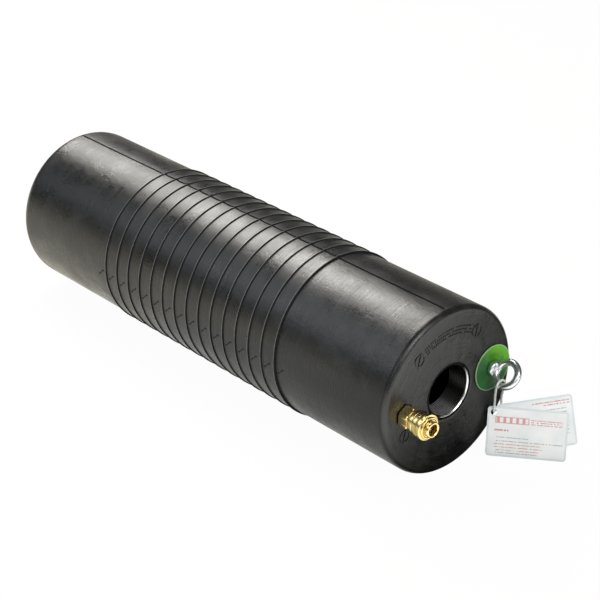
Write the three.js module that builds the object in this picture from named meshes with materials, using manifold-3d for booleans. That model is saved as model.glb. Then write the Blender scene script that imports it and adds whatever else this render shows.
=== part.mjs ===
// Inflatable pipe plug with a bypass passage, lying on its side.
// Millimetres, +Z up, +X along the plug towards its coupler end, origin on the floor below mid-length.
import * as THREE from 'three';
import { mergeVertices } from 'three/addons/utils/BufferGeometryUtils.js';
import Module from 'manifold-3d';

const wasm = await Module();
wasm.setup();

// Rubber body
const BODY_LENGTH = 662;
const BODY_RADIUS = 97.5;
const BODY_WALL = 10;
const END_WALL = 18;
const FRONT_CORNER = 7;
const REAR_CORNER = 14;
const CHAMBER_CORNER = 8;
const FLAT_SAG = 0.7;
const FIRST_BEAD_X = -148.4;
const BEAD_PITCH = 22.07;
const BEAD_COUNT = 15;
const BEAD_HEIGHT = 1.3;
const BEAD_FOOT = 2.6;
const BEAD_CREST = 1.2;
const BAND_RISE = 1;
const MOUTH_LIP = 0.5;

// Gaps between touching pieces, and how far the eye and the inlet are turned from level
const GAP = 0.3;
const EYE_TILT = THREE.MathUtils.degToRad(4.2);
const INLET_TILT = THREE.MathUtils.degToRad(2.5);

// Steel end fittings: plate, threaded socket and hose tail in one
const SOCKET_RADIUS = 32.5;
const SOCKET_MOUTH = 30.2;
const SOCKET_RECESS = 1;
const THREAD_RADIUS = 28.9;
const THREAD_DEPTH = 27;
const SOCKET_STUB = 5;
const PLATE_CLEARANCE = 4.5;
const PLATE_THICKNESS = 8;
const TAIL_RADIUS = 30.5;
const TAIL_BORE = 27.5;
const TAIL_LENGTH = 64;
const TAIL_CHAMFER = 1.5;
const FITTING_EDGE = 31.5;
const INLET_BOSS_RADIUS = 12;
const EYE_BOSS_RADIUS = 10;
const EYE_BOSS_DEPTH = 31;

// Bypass hose and its clamps
const HOSE_WALL = 5;
const HOSE_SHORT_OF_STUB = 4;
const CLAMP_WIDTH = 12;
const CLAMP_THICKNESS = 1.2;
const CLAMP_FROM_TAIL_END = 34;
const HOUSING_LENGTH = 15;
const HOUSING_HEIGHT = 9;
const WORM_RADIUS = 3;
const WORM_LENGTH = 24;
const WORM_HEAD_RADIUS = 4;
const WORM_HEAD_LENGTH = 4;

// Air coupler, measured from the front face along its own axis
const WASHER_THICKNESS = 1;
const WASHER_RADIUS = 10.8;
const INLET_THREAD_RADIUS = 8;
const INLET_THREAD_LENGTH = 12;
const AIR_BORE = 4;
const HEX_ACROSS_FLATS = 23;
const HEX_LENGTH = 11.5;
const HEX_CHAMFER = 0.7;
const COLLAR_RADIUS = 11;
const COLLAR_LENGTH = 4;
const BARREL_RADIUS = 9;
const BARREL_LENGTH = 3;
const CAVITY_RADIUS = 5.5;
const CAVITY_LENGTH = 11.2;
const SPIGOT_RADIUS = 7.4;
const NOSE_LENGTH = 21;
const CHAMBER_RADIUS = 6;
const MOUTH_RADIUS = 6.1;
const MOUTH_DEPTH = 17.3;
const SEAT_RADIUS = 4.2;
const SEAT_THICKNESS = 1.5;
const NOSE_CHAMFER = 1.5;
const NOSE_SEAL_THICKNESS = 1.6;
const NOSE_SEAL_FROM_SEAT = 2.5;
const BALL_RADIUS = 2;
const BALL_COUNT = 4;
const BALL_REACH = 1.1;
const BALL_FROM_TIP = 9.8;
const SLEEVE_TRAVEL = 3;
const RING_SECTION = 0.9;
const RING_REACH = 1;
const RING_FROM_TIP = 6.4;
const SLEEVE_SKIRT = 10.7;
const SLEEVE_RING_RADIUS = 13;
const SLEEVE_RING_WIDTH = 4;
const SLEEVE_GROOVE_RADIUS = 12.4;
const SLEEVE_GROOVE_WIDTH = 1.8;
const SLEEVE_RIB_RADIUS = 14;
const SLEEVE_RIB_WIDTH = 5.4;
const SLEEVE_FLANGE_RADIUS = 14.7;
const SLEEVE_CAP_RADIUS = 12.3;
const SLEEVE_CAP_LENGTH = 0.6;
const SLEEVE_LIP = 1.8;
const SLEEVE_CHAMFER = 0.4;
const SPRING_SPACE = 2.3;
const SLEEVE_SPRING_WIRE = 1.4;
const SLEEVE_SPRING_TURNS = 3.5;
const VALVE_SPRING_WIRE = 1;
const VALVE_SPRING_TURNS = 5;
const POPPET_RADIUS = 5.5;
const POPPET_THICKNESS = 2.8;
const POPPET_TUBE = 3.7;
const POPPET_TUBE_BORE = 2.4;
const POPPET_TUBE_LENGTH = 5.2;
const POPPET_PORT_WIDTH = 3;
const POPPET_PORT_LENGTH = 2.6;
const POPPET_SEAL = 0.6;

// Lifting eye, round plate under it
const PLATE_DISC_RADIUS = 26.9;
const PLATE_DISC_THICKNESS = 1.3;
const PLATE_DISC_RIM = 0.4;
const SHANK_RADIUS = 5;
const SHANK_LENGTH = 20;
const EYE_COLLAR_RADIUS = 9.5;
const EYE_COLLAR_HEIGHT = 5.6;
const EYE_NECK_RADIUS = 6.5;
const EYE_RING_RADIUS = 13.9;
const EYE_BAR_RADIUS = 4;
const EYE_RING_SINK = 3.7;
const EYE_TURN = THREE.MathUtils.degToRad(52);

// Tag cards and the plastic tie that holds them to the eye
const CARD_WIDTH = 88;
const CARD_HEIGHT = 57;
const CARD_THICKNESS = 0.8;
const CARD_CORNER = 4;
const CARD_HOLE_RADIUS = 3.4;
const CARD_HOLE_INSET = 7;
const FRONT_CARD = { ahead: 10.4, beside: -15.3, heading: 38.8, lean: 14 };
const REAR_CARD = { ahead: 25.5, beside: -1, heading: 64, lean: 27 };
const TIE_RADIUS = 1.35;
const TIE_HEAD = 4;
const TIE_SLACK = 1.6;

// Sizes that follow from those above
const FACE = BODY_LENGTH / 2;
const AXIS_Z = BODY_RADIUS - FLAT_SAG;
const CHAMBER = BODY_RADIUS - BODY_WALL;
const PLATE_RADIUS = CHAMBER - CHAMBER_CORNER - PLATE_CLEARANCE;
const FITTING_RADIUS = BODY_RADIUS - FITTING_EDGE;
const PLATE_X = FACE - END_WALL - GAP;
const PLATE_BACK = PLATE_X - PLATE_THICKNESS;
const STUB_X = PLATE_BACK - SOCKET_STUB;
const TAIL_X = STUB_X - TAIL_LENGTH;
const HOSE_BORE = TAIL_RADIUS + GAP;
const HOSE_RADIUS = HOSE_BORE + HOSE_WALL;
const HEX_H = 2 * GAP + WASHER_THICKNESS;
const COLLAR_H = HEX_H + HEX_LENGTH;
const BARREL_H = COLLAR_H + COLLAR_LENGTH;
const NOSE_H = BARREL_H + BARREL_LENGTH + GAP;
const CAVITY_H = HEX_H + GAP;
const COUNTERBORE_H = CAVITY_H + CAVITY_LENGTH;
const TIP_H = NOSE_H + NOSE_LENGTH;
const SEAT_H = TIP_H - MOUTH_DEPTH;
const SEAT_BACK_H = SEAT_H - SEAT_THICKNESS;
const BALL_H = TIP_H - BALL_FROM_TIP;
const RING_H = TIP_H - RING_FROM_TIP;
const SLEEVE_H = COLLAR_H + SLEEVE_TRAVEL + GAP;
const SLEEVE_BORE = COLLAR_RADIUS + GAP;
const LAND_RADIUS = BARREL_RADIUS + GAP;
const LAND_H = SLEEVE_H + SLEEVE_SKIRT;
const POPPET_H = SEAT_BACK_H - 2 * GAP - POPPET_SEAL - POPPET_THICKNESS;
const EYE_H = GAP + PLATE_DISC_THICKNESS + PLATE_DISC_RIM;
const EYE_CENTRE_H = EYE_H + EYE_COLLAR_HEIGHT - EYE_RING_SINK + EYE_RING_RADIUS + EYE_BAR_RADIUS;

const FINISHES = {
  rubber: { color: 0x1c1c1d, roughness: 0.55, metalness: 0 },
  hose: { color: 0x232323, roughness: 0.7, metalness: 0 },
  steel: { color: 0xa7aaac, roughness: 0.35, metalness: 1 },
  zinc: { color: 0xc3c6c8, roughness: 0.25, metalness: 1 },
  brass: { color: 0xc8a24c, roughness: 0.22, metalness: 1 },
  seal: { color: 0x5b2a20, roughness: 0.6, metalness: 0 },
  fibre: { color: 0x6e3b2c, roughness: 0.7, metalness: 0 },
  plate: { color: 0x35a83a, roughness: 0.35, metalness: 0 },
  card: { color: 0xeef1f1, roughness: 0.3, metalness: 0 },
  tie: { color: 0xe2e8e2, roughness: 0.35, metalness: 0 },
};

// Solids

function solid(geometry) {
  const bare = geometry.index ? geometry.toNonIndexed() : geometry.clone();
  bare.deleteAttribute('normal');
  bare.deleteAttribute('uv');
  const merged = mergeVertices(bare, 1e-4);
  const points = merged.attributes.position;
  const corners = merged.index.array;
  const faces = [];
  let volume = 0;
  const [a, b, c] = [new THREE.Vector3(), new THREE.Vector3(), new THREE.Vector3()];
  for (let i = 0; i < corners.length; i += 3) {
    const [p, q, r] = [corners[i], corners[i + 1], corners[i + 2]];
    if (p === q || q === r || r === p) continue;
    faces.push([p, q, r]);
    a.fromBufferAttribute(points, p);
    b.fromBufferAttribute(points, q);
    c.fromBufferAttribute(points, r);
    volume += a.dot(b.cross(c));
  }
  const ordered = faces.map(([p, q, r]) => (volume > 0 ? [p, q, r] : [p, r, q]));
  const mesh = new wasm.Mesh({
    numProp: 3,
    vertProperties: new Float32Array(points.array),
    triVerts: new Uint32Array(ordered.flat()),
  });
  return new wasm.Manifold(mesh);
}

function node(name, shape, finish) {
  const mesh = shape.getMesh();
  const geometry = new THREE.BufferGeometry();
  geometry.setAttribute('position', new THREE.BufferAttribute(mesh.vertProperties, 3));
  geometry.setIndex(new THREE.BufferAttribute(mesh.triVerts, 1));
  geometry.computeVertexNormals();
  const material = new THREE.MeshStandardMaterial(FINISHES[finish]);
  const made = new THREE.Mesh(geometry, material);
  made.name = name;
  return made;
}

// A solid turned about the X axis from points given as [distance along X, radius].
function turned(outline, segments) {
  const points = outline.map(([x, radius]) => new THREE.Vector2(radius, x));
  const geometry = new THREE.LatheGeometry(points, segments);
  geometry.rotateZ(-Math.PI / 2);
  return solid(geometry);
}

// A closed ring section turned about the X axis.
function turnedRing(outline, segments) {
  return turned([...outline, outline[0]], segments);
}

function rod(from, to, radius, segments) {
  return turned([[from, 0], [from, radius], [to, radius], [to, 0]], segments);
}

function tube(from, to, inner, outer, segments) {
  return turnedRing([[from, inner], [from, outer], [to, outer], [to, inner]], segments);
}

function placed(geometry, x, y, z) {
  geometry.translate(x, y, z);
  return solid(geometry);
}

function arc(x, radius, corner, from, to, steps) {
  const points = [];
  for (let i = 0; i <= steps; i++) {
    const angle = THREE.MathUtils.degToRad(from + (to - from) * i / steps);
    points.push([x + corner * Math.cos(angle), radius + corner * Math.sin(angle)]);
  }
  return points;
}

// A point on the pitch circle of the end face, on the eye's side (1) or the coupler's side (-1).
function onFace(side) {
  const reach = side * FITTING_RADIUS;
  const tilt = side > 0 ? EYE_TILT : INLET_TILT;
  return new THREE.Vector3(FACE, reach * Math.cos(tilt), AXIS_Z + reach * Math.sin(tilt));
}

function shiftedToFace(shape, side) {
  const spot = onFace(side);
  return shape.translate([0, spot.y, spot.z - AXIS_Z]);
}

// Rubber body

function beadOutline() {
  const points = [];
  for (let i = BEAD_COUNT - 1; i >= 0; i--) {
    const x = FIRST_BEAD_X + i * BEAD_PITCH;
    const band = BODY_RADIUS + BAND_RISE;
    const before = i === BEAD_COUNT - 1 ? BODY_RADIUS : band;
    const after = i === 0 ? BODY_RADIUS : band;
    points.push([x + BEAD_FOOT / 2, before], [x + BEAD_CREST / 2, band + BEAD_HEIGHT]);
    points.push([x - BEAD_CREST / 2, band + BEAD_HEIGHT], [x - BEAD_FOOT / 2, after]);
  }
  return points;
}

function rubberBody() {
  const bore = SOCKET_RADIUS + GAP;
  const inside = FACE - END_WALL;
  const shoulder = CHAMBER - CHAMBER_CORNER;
  const outline = [
    [FACE - MOUTH_LIP, bore],
    [FACE, bore + MOUTH_LIP],
    ...arc(FACE - FRONT_CORNER, BODY_RADIUS - FRONT_CORNER, FRONT_CORNER, 0, 90, 4),
    ...beadOutline(),
    ...arc(REAR_CORNER - FACE, BODY_RADIUS - REAR_CORNER, REAR_CORNER, 90, 180, 5),
    [-FACE, bore + MOUTH_LIP],
    [MOUTH_LIP - FACE, bore],
    [-inside, bore],
    [-inside, shoulder],
    [CHAMBER_CORNER - inside, CHAMBER],
    [inside - CHAMBER_CORNER, CHAMBER],
    [inside, shoulder],
    [inside, bore],
  ];
  const below = 2 * BODY_RADIUS;
  const floor = placed(new THREE.BoxGeometry(BODY_LENGTH, below, BODY_RADIUS), 0, 0, -AXIS_Z - BODY_RADIUS / 2);
  const inlet = rod(inside - GAP, FACE + GAP, INLET_BOSS_RADIUS + GAP, 24);
  const eye = rod(inside - GAP, FACE + GAP, EYE_BOSS_RADIUS + GAP, 24);
  return turnedRing(outline, 40)
    .subtract(floor)
    .subtract(shiftedToFace(inlet, -1))
    .subtract(shiftedToFace(eye, 1));
}

// End fittings, the front one with bosses for the air inlet and the lifting eye

function endFitting() {
  return turnedRing([
    [FACE - SOCKET_RECESS, SOCKET_MOUTH],
    [FACE - SOCKET_RECESS, SOCKET_RADIUS],
    [PLATE_X, SOCKET_RADIUS],
    [PLATE_X, PLATE_RADIUS],
    [PLATE_BACK, PLATE_RADIUS],
    [PLATE_BACK, SOCKET_RADIUS],
    [STUB_X, SOCKET_RADIUS],
    [STUB_X, TAIL_RADIUS],
    [TAIL_X + TAIL_CHAMFER, TAIL_RADIUS],
    [TAIL_X, TAIL_RADIUS - TAIL_CHAMFER],
    [TAIL_X, TAIL_BORE],
    [STUB_X, TAIL_BORE],
    [FACE - THREAD_DEPTH, THREAD_RADIUS],
    [FACE - SOCKET_RECESS - (SOCKET_MOUTH - THREAD_RADIUS), THREAD_RADIUS],
  ], 40);
}

function frontFitting() {
  const inletBoss = rod(PLATE_BACK, FACE, INLET_BOSS_RADIUS, 24);
  const inletHole = rod(PLATE_BACK - GAP, FACE + GAP, INLET_THREAD_RADIUS + GAP, 24);
  const eyeBoss = rod(FACE - EYE_BOSS_DEPTH, FACE, EYE_BOSS_RADIUS, 24);
  const eyeHole = rod(FACE - SHANK_LENGTH - 2 * GAP, FACE + GAP, SHANK_RADIUS + GAP, 20);
  return endFitting()
    .add(shiftedToFace(inletBoss, -1))
    .add(shiftedToFace(eyeBoss, 1))
    .subtract(shiftedToFace(inletHole, -1))
    .subtract(shiftedToFace(eyeHole, 1));
}

// Bypass hose and worm-drive clamps

function bypassHose() {
  const end = STUB_X - HOSE_SHORT_OF_STUB;
  return tube(-end, end, HOSE_BORE, HOSE_RADIUS, 40);
}

const BAND_INNER = HOSE_RADIUS + GAP;
const BAND_OUTER = BAND_INNER + CLAMP_THICKNESS;
const HOUSING_FLOOR = BAND_OUTER + GAP;
const WORM_Z = HOUSING_FLOOR + HOUSING_HEIGHT / 2;

function clampBand() {
  return tube(-CLAMP_WIDTH / 2, CLAMP_WIDTH / 2, BAND_INNER, BAND_OUTER, 40);
}

function clampHousing() {
  const box = new THREE.BoxGeometry(CLAMP_WIDTH, HOUSING_LENGTH, HOUSING_HEIGHT);
  const channel = new THREE.CylinderGeometry(WORM_RADIUS + GAP, WORM_RADIUS + GAP, HOUSING_LENGTH + 1, 16);
  const saddle = rod(-CLAMP_WIDTH, CLAMP_WIDTH, HOUSING_FLOOR, 40);
  return placed(box, 0, 0, WORM_Z).subtract(placed(channel, 0, 0, WORM_Z)).subtract(saddle);
}

function clampScrew() {
  const half = WORM_LENGTH / 2;
  const worm = new THREE.CylinderGeometry(WORM_RADIUS, WORM_RADIUS, WORM_LENGTH, 16);
  const head = new THREE.CylinderGeometry(WORM_HEAD_RADIUS, WORM_HEAD_RADIUS, WORM_HEAD_LENGTH, 6);
  return placed(worm, 0, 0, WORM_Z).add(placed(head, 0, half + WORM_HEAD_LENGTH / 2 - GAP, WORM_Z));
}

function hoseClamp(end, x) {
  const group = new THREE.Group();
  group.add(node(`${end}_clamp_band`, clampBand(), 'zinc'));
  group.add(node(`${end}_clamp_housing`, clampHousing(), 'zinc'));
  group.add(node(`${end}_clamp_screw`, clampScrew(), 'zinc'));
  group.position.set(x, 0, AXIS_Z);
  return group;
}

// Air coupler

function sealWasher() {
  return tube(GAP, GAP + WASHER_THICKNESS, INLET_THREAD_RADIUS + GAP, WASHER_RADIUS, 24);
}

function hexagon(from, length, acrossFlats) {
  const corner = acrossFlats / Math.sqrt(3);
  const shape = new THREE.Shape();
  for (let i = 0; i < 6; i++) {
    const angle = Math.PI / 6 + i * Math.PI / 3;
    const point = [corner * Math.cos(angle), corner * Math.sin(angle)];
    if (i === 0) shape.moveTo(...point);
    else shape.lineTo(...point);
  }
  const geometry = new THREE.ExtrudeGeometry(shape, { depth: length, bevelEnabled: false });
  geometry.rotateY(Math.PI / 2);
  const corners = turned([
    [from, 0],
    [from, corner - HEX_CHAMFER],
    [from + HEX_CHAMFER, corner],
    [from + length - HEX_CHAMFER, corner],
    [from + length, acrossFlats / 2],
    [from + length, 0],
  ], 36);
  return placed(geometry, from, 0, 0).intersect(corners);
}

function couplerBody() {
  const core = turned([
    [-INLET_THREAD_LENGTH, 0],
    [-INLET_THREAD_LENGTH, INLET_THREAD_RADIUS - HEX_CHAMFER],
    [HEX_CHAMFER - INLET_THREAD_LENGTH, INLET_THREAD_RADIUS],
    [COLLAR_H - 1, INLET_THREAD_RADIUS],
    [COLLAR_H - 1, COLLAR_RADIUS],
    [BARREL_H, COLLAR_RADIUS],
    [BARREL_H, BARREL_RADIUS],
    [BARREL_H + BARREL_LENGTH, BARREL_RADIUS],
    [BARREL_H + BARREL_LENGTH, 0],
  ], 28);
  const bore = turned([
    [-INLET_THREAD_LENGTH - 1, 0],
    [-INLET_THREAD_LENGTH - 1, AIR_BORE],
    [CAVITY_H, AIR_BORE],
    [CAVITY_H, CAVITY_RADIUS],
    [COUNTERBORE_H, CAVITY_RADIUS],
    [COUNTERBORE_H, SPIGOT_RADIUS + GAP],
    [BARREL_H + BARREL_LENGTH + 1, SPIGOT_RADIUS + GAP],
    [BARREL_H + BARREL_LENGTH + 1, 0],
  ], 28);
  return core.add(hexagon(HEX_H, HEX_LENGTH, HEX_ACROSS_FLATS)).subtract(bore);
}

const BALL_CENTRE = LAND_RADIUS - GAP - BALL_RADIUS;
const NOSE_SEAL_H = SEAT_H + NOSE_SEAL_FROM_SEAT;
const NOSE_GROOVE = MOUTH_RADIUS + NOSE_SEAL_THICKNESS + GAP / 2;
const RING_FLOOR = BARREL_RADIUS - RING_REACH;

function ballAngle(i) {
  return Math.PI / 4 + i * 2 * Math.PI / BALL_COUNT;
}

function couplerNose() {
  const back = COUNTERBORE_H + GAP;
  let nose = turnedRing([
    [back, CHAMBER_RADIUS],
    [back, SPIGOT_RADIUS],
    [NOSE_H, SPIGOT_RADIUS],
    [NOSE_H, BARREL_RADIUS],
    [RING_H - GAP, BARREL_RADIUS],
    [RING_H - GAP, RING_FLOOR],
    [RING_H + RING_SECTION + GAP, RING_FLOOR],
    [RING_H + RING_SECTION + GAP, BARREL_RADIUS],
    [TIP_H - NOSE_CHAMFER, BARREL_RADIUS],
    [TIP_H, BARREL_RADIUS - NOSE_CHAMFER / 2],
    [TIP_H, MOUTH_RADIUS + NOSE_CHAMFER / 2],
    [TIP_H - NOSE_CHAMFER / 2, MOUTH_RADIUS],
    [NOSE_SEAL_H + NOSE_SEAL_THICKNESS + GAP, MOUTH_RADIUS],
    [NOSE_SEAL_H + NOSE_SEAL_THICKNESS + GAP, NOSE_GROOVE],
    [NOSE_SEAL_H - GAP, NOSE_GROOVE],
    [NOSE_SEAL_H - GAP, MOUTH_RADIUS],
    [SEAT_H, MOUTH_RADIUS],
    [SEAT_H, SEAT_RADIUS],
    [SEAT_BACK_H, SEAT_RADIUS],
    [SEAT_BACK_H, CHAMBER_RADIUS],
  ], 28);
  for (let i = 0; i < BALL_COUNT; i++) {
    const reach = BARREL_RADIUS + 1;
    const hole = new THREE.CylinderGeometry(BALL_RADIUS + GAP, BALL_RADIUS + GAP, reach, 14);
    hole.translate(0, reach / 2, 0);
    hole.rotateX(ballAngle(i));
    nose = nose.subtract(placed(hole, BALL_H, 0, 0));
  }
  return nose;
}

function lockingBall(i) {
  const angle = ballAngle(i);
  const ball = new THREE.SphereGeometry(BALL_RADIUS, 12, 8);
  return placed(ball, BALL_H, BALL_CENTRE * Math.cos(angle), BALL_CENTRE * Math.sin(angle));
}

function noseSeal() {
  const half = NOSE_SEAL_THICKNESS / 2;
  const round = arc(NOSE_SEAL_H + half, NOSE_GROOVE - GAP - half, half, 0, 315, 7);
  return turnedRing(round, 24);
}

function retainingRing() {
  const inner = RING_FLOOR + GAP;
  return tube(RING_H, RING_H + RING_SECTION, inner, BARREL_RADIUS + RING_REACH, 28);
}

// The ramp in the sleeve keeps its gap to a ball that moves out as the sleeve moves back.
const RAMP_SLOPE = BALL_REACH / SLEEVE_TRAVEL;
const RAMP_OFFSET = (BALL_RADIUS + GAP) * Math.hypot(1, RAMP_SLOPE);
const RAMP_START_H = BALL_H + (LAND_RADIUS - BALL_CENTRE - RAMP_OFFSET) / RAMP_SLOPE;
const RAMP_END_H = BALL_H + SLEEVE_TRAVEL;
const RELIEF_RADIUS = BALL_CENTRE + RAMP_OFFSET + BALL_REACH;
const SLEEVE_CAP_H = RAMP_END_H - SLEEVE_CAP_LENGTH;
const SLEEVE_END_H = RAMP_END_H + SLEEVE_LIP;

function couplerSleeve() {
  const ribStart = SLEEVE_H + SLEEVE_RING_WIDTH + SLEEVE_GROOVE_WIDTH;
  const ribEnd = ribStart + SLEEVE_RIB_WIDTH;
  const flangeStart = ribEnd + SLEEVE_GROOVE_WIDTH;
  const edge = SLEEVE_CHAMFER;
  return turnedRing([
    [SLEEVE_H, SLEEVE_BORE],
    [SLEEVE_H, SLEEVE_RING_RADIUS - edge],
    [SLEEVE_H + edge, SLEEVE_RING_RADIUS],
    [SLEEVE_H + SLEEVE_RING_WIDTH, SLEEVE_RING_RADIUS],
    [SLEEVE_H + SLEEVE_RING_WIDTH + edge, SLEEVE_GROOVE_RADIUS],
    [ribStart - edge, SLEEVE_GROOVE_RADIUS],
    [ribStart, SLEEVE_RIB_RADIUS],
    [ribEnd, SLEEVE_RIB_RADIUS],
    [ribEnd + edge, SLEEVE_GROOVE_RADIUS],
    [flangeStart - edge, SLEEVE_GROOVE_RADIUS],
    [flangeStart, SLEEVE_FLANGE_RADIUS],
    [SLEEVE_CAP_H - edge, SLEEVE_FLANGE_RADIUS],
    [SLEEVE_CAP_H, SLEEVE_FLANGE_RADIUS - edge],
    [SLEEVE_CAP_H, SLEEVE_CAP_RADIUS],
    [SLEEVE_END_H - edge, SLEEVE_CAP_RADIUS],
    [SLEEVE_END_H, SLEEVE_CAP_RADIUS - edge],
    [SLEEVE_END_H, RELIEF_RADIUS],
    [RAMP_END_H, RELIEF_RADIUS],
    [RAMP_START_H, LAND_RADIUS],
    [LAND_H, LAND_RADIUS],
    [LAND_H, SLEEVE_BORE],
  ], 32);
}

class Helix extends THREE.Curve {
  constructor(from, to, radius, turns) {
    super();
    Object.assign(this, { from, to, radius, turns });
  }

  getPoint(t, target = new THREE.Vector3()) {
    const angle = t * this.turns * 2 * Math.PI;
    const x = this.from + t * (this.to - this.from);
    return target.set(x, this.radius * Math.cos(angle), this.radius * Math.sin(angle));
  }
}

function roundSection(radius, sides) {
  const shape = new THREE.Shape();
  for (let i = 0; i < sides; i++) {
    const angle = i * 2 * Math.PI / sides;
    if (i === 0) shape.moveTo(radius, 0);
    else shape.lineTo(radius * Math.cos(angle), radius * Math.sin(angle));
  }
  return shape;
}

function coilSpring(from, to, inner, wire, turns) {
  const path = new Helix(from + wire / 2 + GAP, to - wire / 2 - GAP, inner + wire / 2, turns);
  const settings = { steps: Math.round(turns * 12), extrudePath: path, bevelEnabled: false };
  return solid(new THREE.ExtrudeGeometry(roundSection(wire / 2, 6), settings));
}

function sleeveSpring() {
  const inner = BARREL_RADIUS + (SPRING_SPACE - SLEEVE_SPRING_WIRE) / 2;
  return coilSpring(BARREL_H, LAND_H, inner, SLEEVE_SPRING_WIRE, SLEEVE_SPRING_TURNS);
}

function valveSpring() {
  const inner = CAVITY_RADIUS - GAP - VALVE_SPRING_WIRE;
  return coilSpring(CAVITY_H, POPPET_H, inner, VALVE_SPRING_WIRE, VALVE_SPRING_TURNS);
}

function valvePoppet() {
  const disc = POPPET_H + POPPET_THICKNESS;
  const end = disc + POPPET_TUBE_LENGTH;
  const cup = turned([
    [POPPET_H, 0],
    [POPPET_H, POPPET_RADIUS],
    [disc, POPPET_RADIUS],
    [disc, POPPET_TUBE],
    [end, POPPET_TUBE],
    [end, POPPET_TUBE_BORE],
    [disc, POPPET_TUBE_BORE],
    [disc, 0],
  ], 24);
  const port = disc + POPPET_SEAL + GAP + POPPET_PORT_LENGTH / 2;
  const across = 3 * POPPET_TUBE;
  const upright = new THREE.BoxGeometry(POPPET_PORT_LENGTH, POPPET_PORT_WIDTH, across);
  const level = new THREE.BoxGeometry(POPPET_PORT_LENGTH, across, POPPET_PORT_WIDTH);
  return cup.subtract(placed(upright, port, 0, 0)).subtract(placed(level, port, 0, 0));
}

function poppetSeal() {
  const from = POPPET_H + POPPET_THICKNESS + GAP;
  return tube(from, from + POPPET_SEAL, POPPET_TUBE + GAP, POPPET_RADIUS, 24);
}

function airCoupler() {
  const group = new THREE.Group();
  group.add(node('coupler_seal_washer', sealWasher(), 'fibre'));
  group.add(node('coupler_body', couplerBody(), 'brass'));
  group.add(node('coupler_nose', couplerNose(), 'brass'));
  group.add(node('coupler_sleeve', couplerSleeve(), 'brass'));
  group.add(node('sleeve_spring', sleeveSpring(), 'steel'));
  group.add(node('sleeve_retaining_ring', retainingRing(), 'steel'));
  for (let i = 0; i < BALL_COUNT; i++) {
    group.add(node(`locking_ball_${i + 1}`, lockingBall(i), 'steel'));
  }
  group.add(node('valve_poppet', valvePoppet(), 'brass'));
  group.add(node('valve_spring', valveSpring(), 'steel'));
  group.add(node('poppet_seal', poppetSeal(), 'seal'));
  group.add(node('nose_seal', noseSeal(), 'seal'));
  group.position.copy(onFace(-1));
  return group;
}

// Lifting eye and round plate

function roundPlate() {
  const top = GAP + PLATE_DISC_THICKNESS;
  const rim = PLATE_DISC_RADIUS - 1;
  return turnedRing([
    [GAP, SHANK_RADIUS + GAP],
    [GAP, PLATE_DISC_RADIUS],
    [top, PLATE_DISC_RADIUS],
    [top + PLATE_DISC_RIM - GAP / 3, rim],
    [top, rim - PLATE_DISC_RIM],
    [top, SHANK_RADIUS + GAP],
  ], 40);
}

function eyeBolt() {
  const collarTop = EYE_H + EYE_COLLAR_HEIGHT;
  const shank = turned([
    [-SHANK_LENGTH, 0],
    [-SHANK_LENGTH, SHANK_RADIUS - 1],
    [1 - SHANK_LENGTH, SHANK_RADIUS],
    [EYE_H, SHANK_RADIUS],
    [EYE_H, EYE_COLLAR_RADIUS],
    [collarTop - 1, EYE_COLLAR_RADIUS],
    [collarTop, EYE_COLLAR_RADIUS - 1],
    [collarTop + 1.5, EYE_NECK_RADIUS],
    [collarTop + 1.5, 0],
  ], 24);
  const ring = new THREE.TorusGeometry(EYE_RING_RADIUS, EYE_BAR_RADIUS, 12, 32);
  ring.rotateX(EYE_TURN);
  return shank.add(placed(ring, EYE_CENTRE_H, 0, 0));
}

function liftingEye() {
  const group = new THREE.Group();
  group.add(node('round_plate', roundPlate(), 'plate'));
  group.add(node('eye_bolt', eyeBolt(), 'zinc'));
  group.position.copy(onFace(1));
  return group;
}

// Tag cards: each stands on its long edge on the floor and leans back

function cardAxes({ ahead, beside, heading, lean }) {
  const turn = THREE.MathUtils.degToRad(heading);
  const back = THREE.MathUtils.degToRad(lean);
  const along = new THREE.Vector3(Math.cos(turn), Math.sin(turn), 0);
  const away = new THREE.Vector3(-Math.sin(turn), Math.cos(turn), 0);
  const up = new THREE.Vector3(0, 0, Math.cos(back)).addScaledVector(away, Math.sin(back));
  const front = new THREE.Vector3().crossVectors(along, up);
  const lift = GAP + CARD_THICKNESS * Math.sin(back);
  const corner = new THREE.Vector3(FACE + ahead, FITTING_RADIUS + beside, lift);
  return { along, up, front, corner };
}

function cardHole(card) {
  const { along, up, corner } = cardAxes(card);
  return corner.clone()
    .addScaledVector(along, CARD_HOLE_INSET)
    .addScaledVector(up, CARD_HEIGHT - CARD_HOLE_INSET);
}

function tagCard(card) {
  const [w, h, r] = [CARD_WIDTH, CARD_HEIGHT, CARD_CORNER];
  const shape = new THREE.Shape();
  shape.moveTo(r, 0);
  shape.lineTo(w - r, 0);
  shape.absarc(w - r, r, r, -Math.PI / 2, 0);
  shape.lineTo(w, h - r);
  shape.absarc(w - r, h - r, r, 0, Math.PI / 2);
  shape.lineTo(r, h);
  shape.absarc(r, h - r, r, Math.PI / 2, Math.PI);
  shape.lineTo(0, r);
  shape.absarc(r, r, r, Math.PI, 1.5 * Math.PI);
  const hole = new THREE.Path();
  hole.absarc(CARD_HOLE_INSET, h - CARD_HOLE_INSET, CARD_HOLE_RADIUS, 0, 2 * Math.PI);
  shape.holes.push(hole);
  const settings = { depth: CARD_THICKNESS, bevelEnabled: false, curveSegments: 5 };
  const geometry = new THREE.ExtrudeGeometry(shape, settings);
  const { along, up, front, corner } = cardAxes(card);
  geometry.translate(0, 0, -CARD_THICKNESS / 2);
  geometry.applyMatrix4(new THREE.Matrix4().makeBasis(along, up, front).setPosition(corner));
  return solid(geometry);
}

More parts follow.
